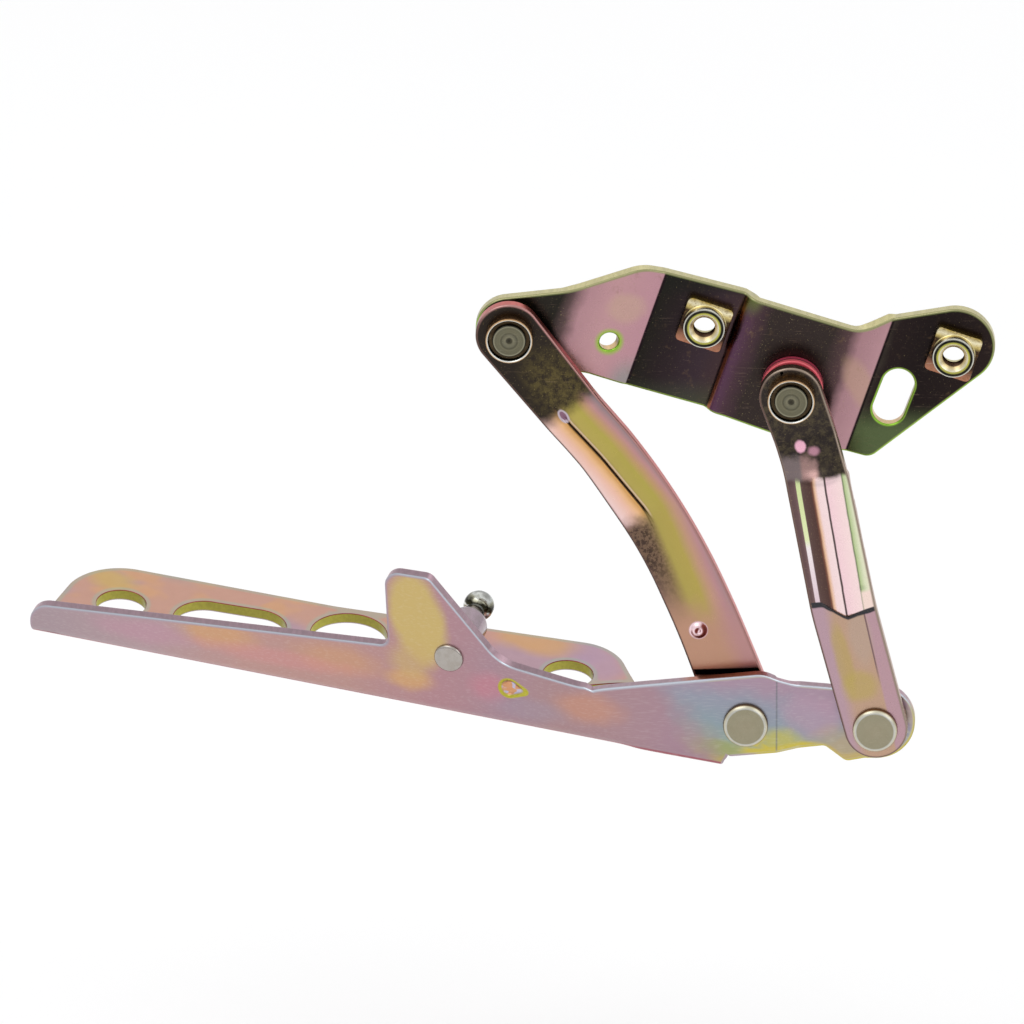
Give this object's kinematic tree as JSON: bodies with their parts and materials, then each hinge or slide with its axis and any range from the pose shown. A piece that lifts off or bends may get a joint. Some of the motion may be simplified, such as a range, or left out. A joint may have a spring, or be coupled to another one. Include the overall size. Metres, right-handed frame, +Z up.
{
  "type": "bonnet hinge",
  "caption": "Bonnet hinge of pressed, yellow-passivated steel plate: a stepped body bracket, two riveted links and a long flanged bonnet lever with a ball stud.",
  "frame": {"origin": "on the axis of the front weld nut, at the front face of the bracket plate that carries it", "axes": "+X along the car, away from the long lever; +Y along the pivot axes, from the links to the bracket's mounting side; +Z up as in the picture"},
  "size_m": [0.3138, 0.0939, 0.1679],
  "materials": {
    "dark_zinc": "glossy yellow-passivated zinc, dark with mauve and green tints",
    "link_zinc": "glossy yellow-passivated zinc with olive, pink and grey bands",
    "lever_zinc": "glossy yellow-passivated zinc, mauve and ochre",
    "nut_zinc": "yellow-passivated zinc, golden",
    "red_zinc": "passivated zinc, magenta-red",
    "rivet_steel": "satin turned steel with a warm tint",
    "bush_metal": "dull dark metal",
    "stud_steel": "polished ball on a zinc shoulder"
  },
  "bodies": {
    "body_side": {"body_bracket": "dark_zinc", "front_weld_nut": "nut_zinc", "rear_weld_nut": "nut_zinc", "main_pivot_pin": "rivet_steel", "main_pivot_collar": "nut_zinc", "main_pivot_washer": "nut_zinc", "rear_pivot_pin": "rivet_steel", "rear_pivot_collar": "nut_zinc", "rear_pivot_spacer": "red_zinc", "rear_pivot_washer": "bush_metal"},
    "main_arm": {"main_link": "link_zinc", "main_pivot_bush": "bush_metal", "lever_front_bush": "bush_metal"},
    "rear_arm": {"rear_link": "link_zinc", "rear_pivot_bush": "bush_metal", "lever_rear_rivet": "rivet_steel", "lever_rear_spacer": "nut_zinc", "lever_rear_washer": "nut_zinc"},
    "bonnet_arm": {"bonnet_lever": "lever_zinc", "ball_stud": "stud_steel", "lever_front_rivet": "rivet_steel", "lever_front_washer": "bush_metal"}
  },
  "joints": [
    {"name": "main_link_turn", "type": "hinge", "parent": "body_side", "child": "main_arm", "pos_m": [-0.0625, -0.01, -0.0005], "axis": [0, -1, 0], "range_deg": [-22, 5]},
    {"name": "rear_link_turn", "type": "hinge", "parent": "body_side", "child": "rear_arm", "pos_m": [0.0285, -0.01, -0.0198], "axis": [0, -1, 0], "range_deg": [-29.1, 6.7]},
    {"name": "bonnet_lever_turn", "type": "hinge", "parent": "main_arm", "child": "bonnet_arm", "pos_m": [0.014, -0.01, -0.133], "axis": [0, -1, 0], "range_deg": [-11.1, 48.5]}
  ],
  "couplings": [
    {"joint": "rear_link_turn", "follows": "main_link_turn", "ratio": 1.32},
    {"joint": "bonnet_lever_turn", "follows": "main_link_turn", "ratio": -2.2}
  ]
}
